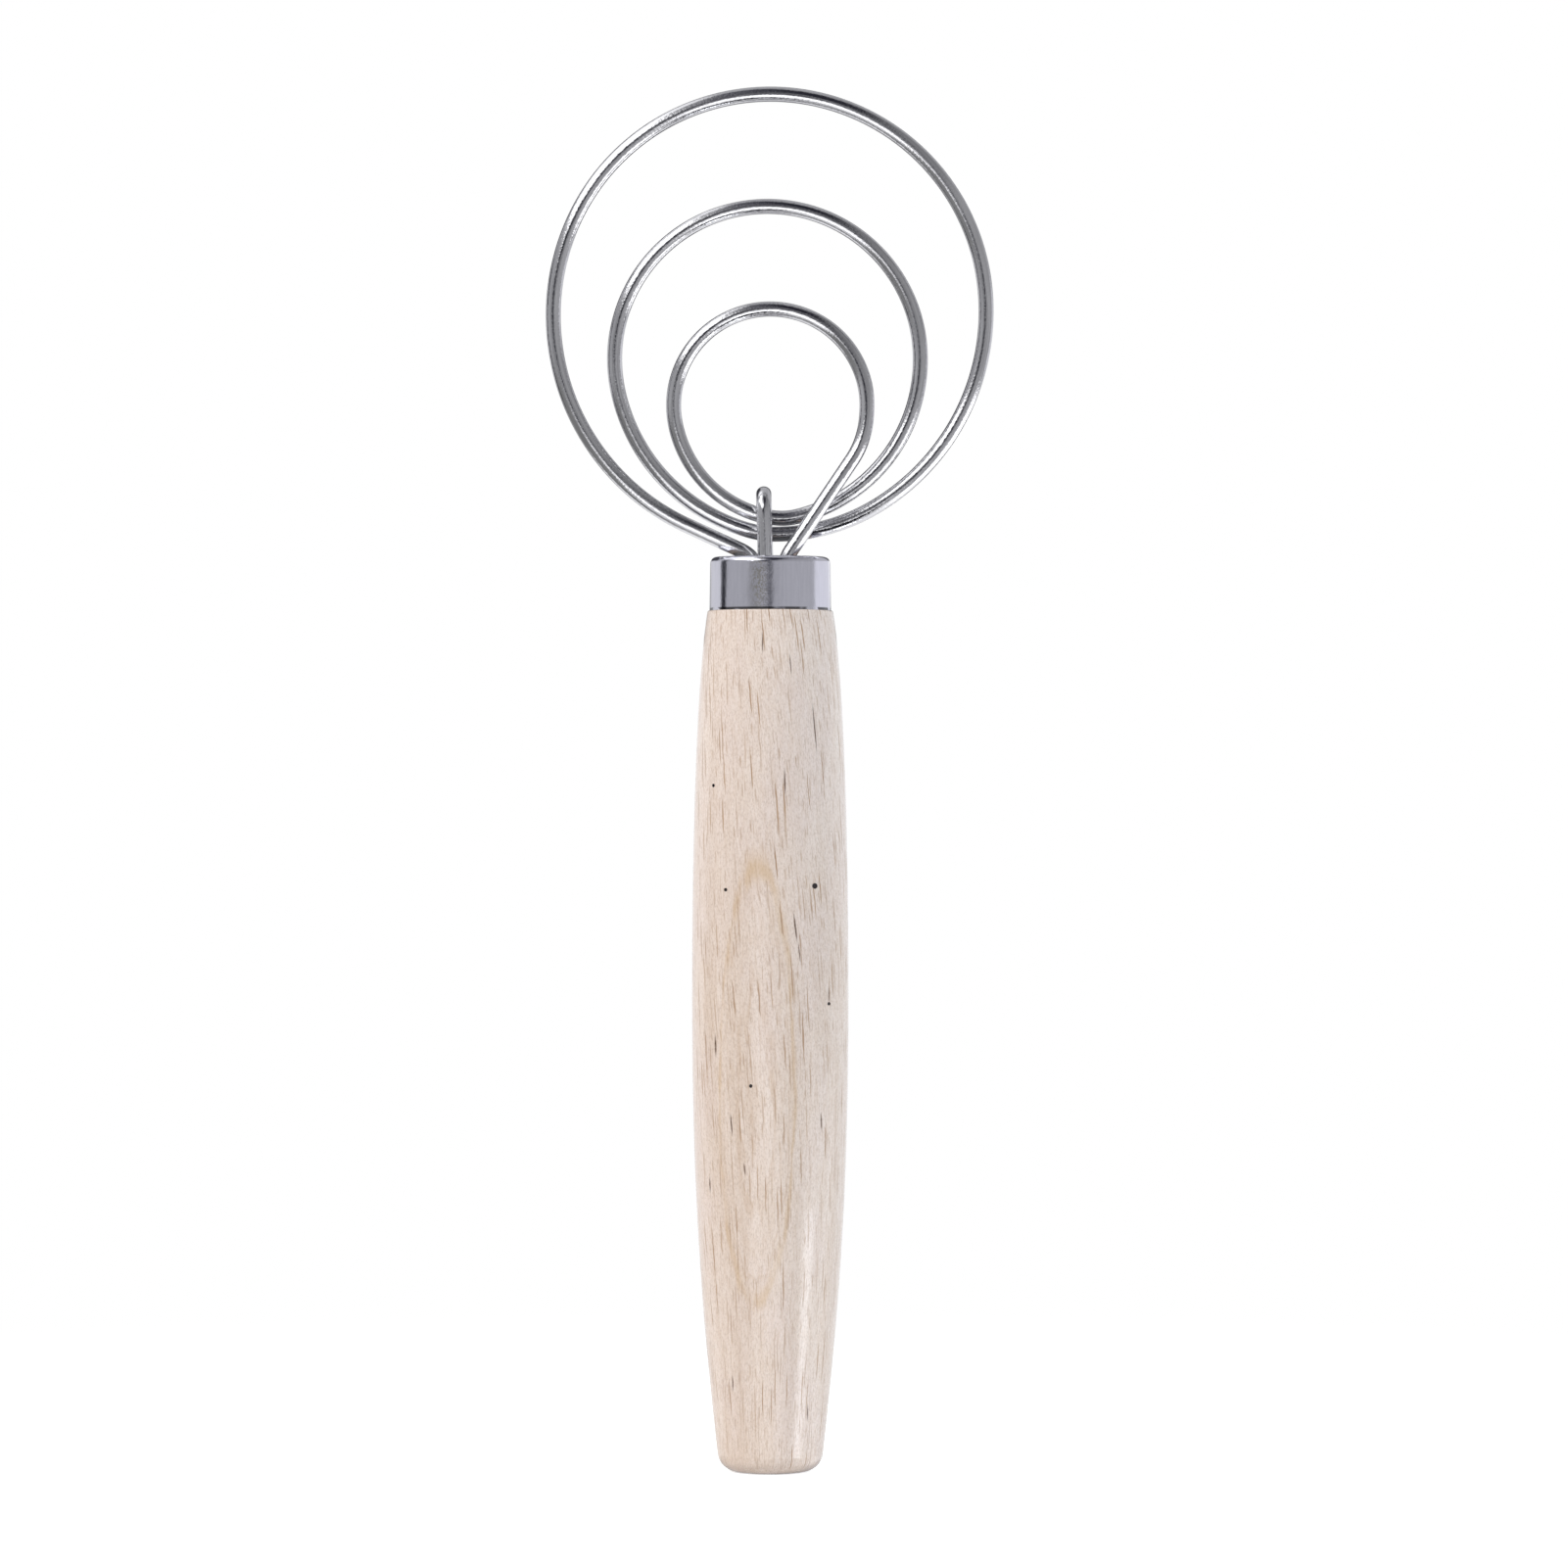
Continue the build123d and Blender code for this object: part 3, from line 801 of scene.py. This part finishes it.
# Degrees away from the camera, from and to; degrees counter-clockwise from the camera's right, from and to;
# how soft the edges are; colour. Later panels cover earlier ones.
TENT_PANELS = (
    (104, 150, 0, 360, 14, (0.50, 0.50, 0.52)),
    (100, 150, 180, 240, 14, (0.43, 0.43, 0.44)),
    (0, 20, 14, 178, 12, (0.17, 0.17, 0.18)),
    (8, 40, 150, 196, 12, (0.30, 0.30, 0.31)),
    (8, 100, 12, 66, 22, (0.35, 0.35, 0.36)),
    (12, 96, 40, 70, 14, (0.25, 0.25, 0.26)),
    (12, 84, 88, 106, 10, (0.13, 0.13, 0.15)),
    (20, 74, 62, 94, 12, (0.025, 0.025, 0.035)),
    (74, 118, 106, 142, 8, (1.20, 1.20, 1.22)),
    (3, 26, 108, 168, 4, (0.04, 0.04, 0.05)),
    (30, 92, 117, 151, 5, (2.00, 2.00, 2.00)),
    (36, 116, 188, 236, 12, (0.24, 0.24, 0.24)),
    (66, 116, 236, 262, 12, (0.36, 0.36, 0.36)),
    (66, 116, 262, 304, 12, (0.74, 0.74, 0.76)),
    (10, 66, 226, 308, 8, (0.86, 0.86, 0.88)),
    (14, 30, 200, 300, 6, (1.05, 1.05, 1.07)),
    (18, 42, 222, 300, 5, (1.90, 1.90, 1.92)),
    (80, 124, 296, 320, 8, (1.10, 1.10, 1.12)),
    (56, 126, 306, 343, 6, (1.90, 1.90, 1.92)),
    (152, 180, 0, 360, 6, (0.10, 0.10, 0.11)),
    (126, 180, 118, 164, 6, (0.06, 0.06, 0.07)),
    (134, 180, 300, 345, 6, (0.06, 0.06, 0.07)),
    (106, 180, 170, 190, 5, (0.66, 0.66, 0.68)),
    (94, 150, -12, 12, 4, (0.74, 0.74, 0.78)),
    (150, 180, -12, 12, 4, (0.95, 0.95, 0.97)),
    (93, 108, 162, 198, 3, (0.03, 0.03, 0.035)),
    (0, 5, 0, 360, 3, (0.08, 0.08, 0.09)),
)
# Degrees between the tent's points, and its radius in metres
TENT_STEP = 2
TENT_RADIUS = 0.5
# The least share that a width round the view shrinks to near its middle, where all the turns meet
LEAST_NARROWING = 0.15

# The other places and sizes of the stage, in metres
TENT_MIDDLE = (0.0, 0.0, 0.18)
LAMP_AIM = (0.0, 0.0, 0.11)
FLOOR_RADIUS = 0.32
FLOOR_DROP = 0.00005
FLOOR_SIDES = 96
# Where the floor starts and ends its fade, in shares of its radius, then its grey, and the light added to
# what the camera sees of it
FLOOR_FADE_SHARES = (0.25, 0.95)
FLOOR_GREY = (0.90, 0.90, 0.90)
FLOOR_LIFT = 0.62
WHITE = (1.0, 1.0, 1.0)
SOFT_TINT = (0.97, 0.98, 1.0)
# Each lamp's place, side and tint
KEY_LAMP = ((-0.83, -0.56, 0.74), 0.6, (1.0, 0.985, 0.97))
FILL_LAMP = ((0.90, -0.40, 0.34), 0.5, (0.78, 0.89, 1.0))
# Each card's place, what it faces, its width and height, and its tone
DARK_CARD = ((0.015, -0.052, 0.115), (0.006, 0.0, 0.146), 0.050, 0.044, (0.015, 0.015, 0.02))
STRIPE_CARD = ((0.061, -0.036, 0.003), (0.006, -0.009, 0.02), 0.019, 0.058, (5.4, 5.6, 5.9))
SIDE_CARDS = tuple(
    ((0.045 * side, 0.045, 0.060), (0.012 * side, 0.0, 0.060), 0.080, 0.148, (1.0, 1.0, 1.02))
    for side in (-1, 1)
)
# What the photograph spans at the handle's axis, and the X and Z of the point at its middle
PHOTO_WIDTH = 0.24926
PHOTO_MIDDLE = (0.00218, 0.10914)
# The width of the camera's sensor, in millimetres
SENSOR_WIDTH = 36.0


def tent_glow(away, turn):
    """What polished metal sees in a direction: away from the camera, and round the view from its right."""
    glow = Vector(TENT_GREY)
    narrowing = max(math.sin(math.radians(away)), LEAST_NARROWING)
    for low_away, high_away, low_turn, high_turn, soft, colour in TENT_PANELS:
        from_middle = abs((turn - (low_turn + high_turn) / 2 + 180) % 360 - 180)
        beside = (from_middle - (high_turn - low_turn) / 2) * narrowing
        outside = max(low_away - away, away - high_away, beside)
        share = min(max(0.5 - outside / soft, 0.0), 1.0)
        glow = glow.lerp(Vector(colour), share * share * (3 - 2 * share))
    return glow


def glowing(name, colour=WHITE, attribute=None):
    """A material that only glows, in one tone or in an attribute's colours."""
    material = bpy.data.materials.new(name)
    work = NodeWork(material)
    if attribute:
        colour = work.add("ShaderNodeAttribute", attribute_name=attribute).outputs["Color"]
    work.end("ShaderNodeOutputMaterial", work.shine("ShaderNodeEmission", colour))
    return material


def only_in_reflections(thing):
    """Hides a part of the stage from all but polished surfaces."""
    for ray in ("camera", "diffuse", "shadow", "transmission", "volume_scatter"):
        setattr(thing, "visible_" + ray, False)


def aim_at(thing, place, aim, axis):
    """Puts a thing at a place, with one of its axes pointing at another."""
    thing.location = place
    thing.rotation_euler = (Vector(aim) - Vector(place)).to_track_quat(axis, "Y").to_euler()


def light_tent(centre):
    """A round tent of grey and white panels that only polished surfaces see."""
    verts, faces, glows = [], [], []
    columns, rows = 360 // TENT_STEP, 180 // TENT_STEP
    for r in range(rows + 1):
        elevation = math.radians(-90 + r * TENT_STEP)
        level = math.cos(elevation)
        for c in range(columns):
            azimuth = math.radians(c * TENT_STEP)
            step = Vector((math.sin(azimuth) * level, -math.cos(azimuth) * level, math.sin(elevation)))
            verts.append(centre + step * TENT_RADIUS)
            away = math.degrees(math.acos(min(max(-step.y, -1.0), 1.0)))
            glows.append(tent_glow(away, math.degrees(math.atan2(step.z, step.x))))
    for r in range(rows):
        low, high = r * columns, (r + 1) * columns
        for c in range(columns):
            after = (c + 1) % columns
            faces.append((low + c, low + after, high + after, high + c))
    mesh = bpy.data.meshes.new("light_tent")
    mesh.from_pydata(verts, [], faces)
    attribute = mesh.attributes.new("glow", "FLOAT_COLOR", "POINT")
    attribute.data.foreach_set("color", [x for glow in glows for x in (*glow, 1.0)])
    mesh.materials.append(glowing("tent_panels", attribute="glow"))
    tent = put("light_tent", mesh)
    only_in_reflections(tent)


def card(name, place, aim, width, height, colour):
    """A flat card of one tone that only polished surfaces see."""
    mesh = bpy.data.meshes.new(name)
    corners = [(a * width / 2, b * height / 2, 0.0) for a, b in ((-1, -1), (1, -1), (1, 1), (-1, 1))]
    mesh.from_pydata(corners, [], [(0, 1, 2, 3)])
    mesh.materials.append(glowing(name, colour))
    flat = put(name, mesh)
    aim_at(flat, place, aim, "Z")
    only_in_reflections(flat)


def white_world(soft):
    """White to the camera and in reflections, and a softer light on the object."""
    world = bpy.data.worlds.new("studio_white")
    bpy.context.scene.world = world
    work = NodeWork(world)
    rays = work.add("ShaderNodeLightPath").outputs
    seen = work.largest(rays[name] for name in ("Is Camera Ray", "Is Glossy Ray", "Is Transmission Ray"))
    light = work.shine("ShaderNodeBackground", SOFT_TINT, soft)
    white = work.shine("ShaderNodeBackground", WHITE)
    work.end("ShaderNodeOutputWorld", work.mix(seen, light, white))


def pale_floor(radius):
    """A pale round floor under the butt that melts into the white and keeps the shadow."""
    turns = [2 * math.pi * k / FLOOR_SIDES for k in range(FLOOR_SIDES)]
    verts = [(0, 0, 0)] + [(radius * math.cos(turn), radius * math.sin(turn), 0) for turn in turns]
    mesh = bpy.data.meshes.new("floor")
    mesh.from_pydata(verts, [], [(0, 1 + k, 1 + (k + 1) % FLOOR_SIDES) for k in range(FLOOR_SIDES)])
    floor = put("floor", mesh)
    floor.location.z = -FLOOR_DROP
    material = bpy.data.materials.new("pale_floor")
    work = NodeWork(material)
    out = work.length(work.add("ShaderNodeTexCoord").outputs["Object"])
    fade = work.span(out, *(share * radius for share in FLOOR_FADE_SHARES))
    matt = work.add("ShaderNodeBsdfDiffuse")
    work.tint(FLOOR_GREY, matt.inputs["Color"])
    seen = work.add("ShaderNodeLightPath").outputs["Is Camera Ray"]
    lift = work.shine("ShaderNodeEmission", WHITE, work.product(seen, FLOOR_LIFT))
    both = work.fill(work.add("ShaderNodeAddShader"), matt.outputs[0], lift)[0]
    clear = work.add("ShaderNodeBsdfTransparent").outputs[0]
    work.end("ShaderNodeOutputMaterial", work.mix(fade, both, clear))
    mesh.materials.append(material)
    floor.visible_glossy = False


def soft_lamp(name, power, place, size, colour):
    """A square soft lamp that polished surfaces don't see; the tent's panels stand for it there."""
    lamp = bpy.data.lights.new(name, "AREA")
    lamp.shape = "SQUARE"
    lamp.size = size
    lamp.energy = power
    lamp.color = colour
    holder = put(name, lamp)
    aim_at(holder, place, LAMP_AIM, "-Z")
    holder.visible_glossy = False
    holder.visible_camera = False


# Settings


def colour_property(name, description, default):
    return bpy.props.FloatVectorProperty(
        name=name, description=description, default=default, size=3, min=0.0, max=1.0, subtype="COLOR"
    )


def length_property(name, description, default, least, most):
    return bpy.props.FloatProperty(
        name=name,
        description=description,
        default=default,
        min=least,
        max=most,
        precision=6,
        unit="LENGTH",
        subtype="DISTANCE",
    )


def power_property(name, description, default):
    return bpy.props.FloatProperty(
        name=name, description=description, default=default, min=0.0, max=50.0, unit="POWER"
    )


class WhiskWireSettings(bpy.types.PropertyGroup):
    wire_radius: length_property(
        "Wire radius", "Half the thickness of the long wire", WIRE_RADIUS * MM, 0.0005, 0.002
    )
    staple_radius: length_property(
        "Staple radius", "Half the thickness of the keeper staple", STAPLE_RADIUS * MM, 0.0005, 0.002
    )


class WhiskFinishSettings(bpy.types.PropertyGroup):
    steel_light: colour_property("Bright steel", "Steel where it is polished brightest", (0.78, 0.78, 0.80))
    steel_dark: colour_property("Dull steel", "Steel along its drawing lines", (0.60, 0.60, 0.62))
    ferrule_light: colour_property("Bright ferrule", "The ferrule where it is brightest", (0.86, 0.86, 0.95))
    ferrule_dark: colour_property("Dull ferrule", "The ferrule along its drawing marks", (0.76, 0.76, 0.84))
    steel_stain: colour_property("Stained steel", "The mottled patch on the ferrule", (0.46, 0.44, 0.38))
    # Colour of the painted gap shadow, with some grime, along the ferrule's foot
    foot_shade_grime: colour_property("Ferrule foot", "The dark line at the ferrule's foot", (0.06, 0.06, 0.06))
    wood_cream: colour_property("Cream wood", "The palest bands of the handle", (0.80, 0.70, 0.635))
    wood_beige: colour_property("Beige wood", "The darker bands of the handle", (0.68, 0.565, 0.48))
    wood_pink: colour_property("Pink wood", "The rosy clouds in the wood", (0.72, 0.61, 0.57))
    wood_tan: colour_property("Tan wood", "The dense end of each growth ring", (0.52, 0.36, 0.24))
    wood_amber: colour_property("Amber wood", "The oval's edge and the patch above it", (0.60, 0.43, 0.27))
    wood_vessel: colour_property("Vessels", "The short strokes along the grain", (0.30, 0.18, 0.11))
    wood_streak: colour_property("Dark streaks", "The few long dark strokes", (0.13, 0.08, 0.055))
    wood_speck: colour_property("Specks", "The few dark specks", (0.02, 0.015, 0.015))
    adhesive_light: colour_property("Pale adhesive", "The adhesive where it is palest", (0.22, 0.22, 0.225))
    adhesive_dark: colour_property("Dark adhesive", "The adhesive where it is darkest", (0.13, 0.13, 0.135))
    adhesive_pit: colour_property("Adhesive pits", "The small pits in the adhesive", (0.05, 0.05, 0.05))


class WhiskStudioSettings(bpy.types.PropertyGroup):
    camera_distance: length_property(
        "Camera distance", "From the handle's axis to the camera", 1.0, 0.5, 3.0
    )
    soft_light: bpy.props.FloatProperty(
        name="Soft light",
        description="Strength of the even light from all round",
        default=0.48,
        min=0.0,
        max=2.0,
    )
    key_power: power_property("Key lamp", "Power of the lamp on the left", 10.8)
    fill_power: power_property("Fill lamp", "Power of the lamp on the right", 6.0)


# Operators


class WHISK_OT_eye_wire(bpy.types.Operator):
    """Sweep the long wire round its three eyes and give it its drawn steel"""

    bl_idname = "whisk.eye_wire"
    bl_label = "Eye Wire"

    def execute(self, context):
        scene = context.scene
        wire = swept_bar("eye_wire", whisk_route(), scene.whisk_wire.wire_radius / MM)
        dress(wire, drawn_steel(scene.whisk_finish))
        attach(wire, "root")
        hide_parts("whisk_wire")
        return {"FINISHED"}


class WHISK_OT_keeper(bpy.types.Operator):
    """Bend the staple that holds both passes down"""

    bl_idname = "whisk.keeper"
    bl_label = "Keeper Staple"

    def execute(self, context):
        staple = swept_bar("keeper", staple_route(), context.scene.whisk_wire.staple_radius / MM)
        dress(staple, bpy.data.materials["drawn_steel"])
        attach(staple, "root")
        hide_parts("keeper_staple")
        return {"FINISHED"}


class WHISK_OT_ferrule(bpy.types.Operator):
    """Finish the ferrule in pressed steel"""

    bl_idname = "whisk.ferrule"
    bl_label = "Ferrule"

    def execute(self, context):
        dress(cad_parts["ferrule"], pressed_steel(context.scene.whisk_finish))
        return {"FINISHED"}


class WHISK_OT_handle(bpy.types.Operator):
    """Finish the handle in lacquered pale wood"""

    bl_idname = "whisk.handle"
    bl_label = "Handle"

    def execute(self, context):
        dress(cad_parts["handle"], lacquered_wood(context.scene.whisk_finish))
        return {"FINISHED"}


class WHISK_OT_adhesive(bpy.types.Operator):
    """Finish the hardened adhesive in the socket"""

    bl_idname = "whisk.adhesive"
    bl_label = "Adhesive"

    def execute(self, context):
        dress(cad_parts["socket_filler"], set_adhesive(context.scene.whisk_finish))
        return {"FINISHED"}


class WHISK_OT_stage(bpy.types.Operator):
    """Set up the floor, the light tent, the lamps and the camera"""

    bl_idname = "whisk.stage"
    bl_label = "Stage"

    def execute(self, context):
        scene = context.scene
        studio = scene.whisk_studio
        scene.view_settings.view_transform = "Standard"
        white_world(studio.soft_light)
        light_tent(Vector(TENT_MIDDLE))
        card("dark_card", *DARK_CARD)
        card("stripe_card", *STRIPE_CARD)
        for side_card in SIDE_CARDS:
            card("side_card", *side_card)
        pale_floor(FLOOR_RADIUS)
        soft_lamp("key_lamp", studio.key_power, *KEY_LAMP)
        soft_lamp("fill_lamp", studio.fill_power, *FILL_LAMP)
        camera = bpy.data.cameras.new("camera")
        camera.sensor_width = SENSOR_WIDTH
        camera.lens = SENSOR_WIDTH * studio.camera_distance / PHOTO_WIDTH
        holder = put("camera", camera)
        holder.location = (PHOTO_MIDDLE[0], -studio.camera_distance, PHOTO_MIDDLE[1])
        holder.rotation_euler = (math.radians(90), 0, 0)
        scene.camera = holder
        return {"FINISHED"}


STEPS = (
    WHISK_OT_eye_wire,
    WHISK_OT_keeper,
    WHISK_OT_ferrule,
    WHISK_OT_handle,
    WHISK_OT_adhesive,
    WHISK_OT_stage,
)
SETTINGS = {
    "whisk_wire": WhiskWireSettings,
    "whisk_finish": WhiskFinishSettings,
    "whisk_studio": WhiskStudioSettings,
}


class WHISK_PT_panel(bpy.types.Panel):
    """Lists the whisk's pieces and settings"""

    bl_idname = "WHISK_PT_panel"
    bl_label = "Dough Whisk"
    bl_space_type = "VIEW_3D"
    bl_region_type = "UI"
    bl_category = "Dough Whisk"

    def draw(self, context):
        for step in STEPS:
            self.layout.operator(step.bl_idname)
        for name, group in SETTINGS.items():
            box = self.layout.box()
            for key in group.__annotations__:
                box.prop(getattr(context.scene, name), key)


def register():
    for group in (*SETTINGS.values(), *STEPS, WHISK_PT_panel):
        bpy.utils.register_class(group)
    for name, group in SETTINGS.items():
        setattr(bpy.types.Scene, name, bpy.props.PointerProperty(type=group))


def unregister():
    for name in SETTINGS:
        delattr(bpy.types.Scene, name)
    for group in reversed((*SETTINGS.values(), *STEPS, WHISK_PT_panel)):
        bpy.utils.unregister_class(group)


def main():
    register()
    bpy.ops.whisk.eye_wire()
    bpy.ops.whisk.keeper()
    bpy.ops.whisk.ferrule()
    bpy.ops.whisk.handle()
    bpy.ops.whisk.adhesive()
    bpy.ops.whisk.stage()


if __name__ == "__main__":
    main()
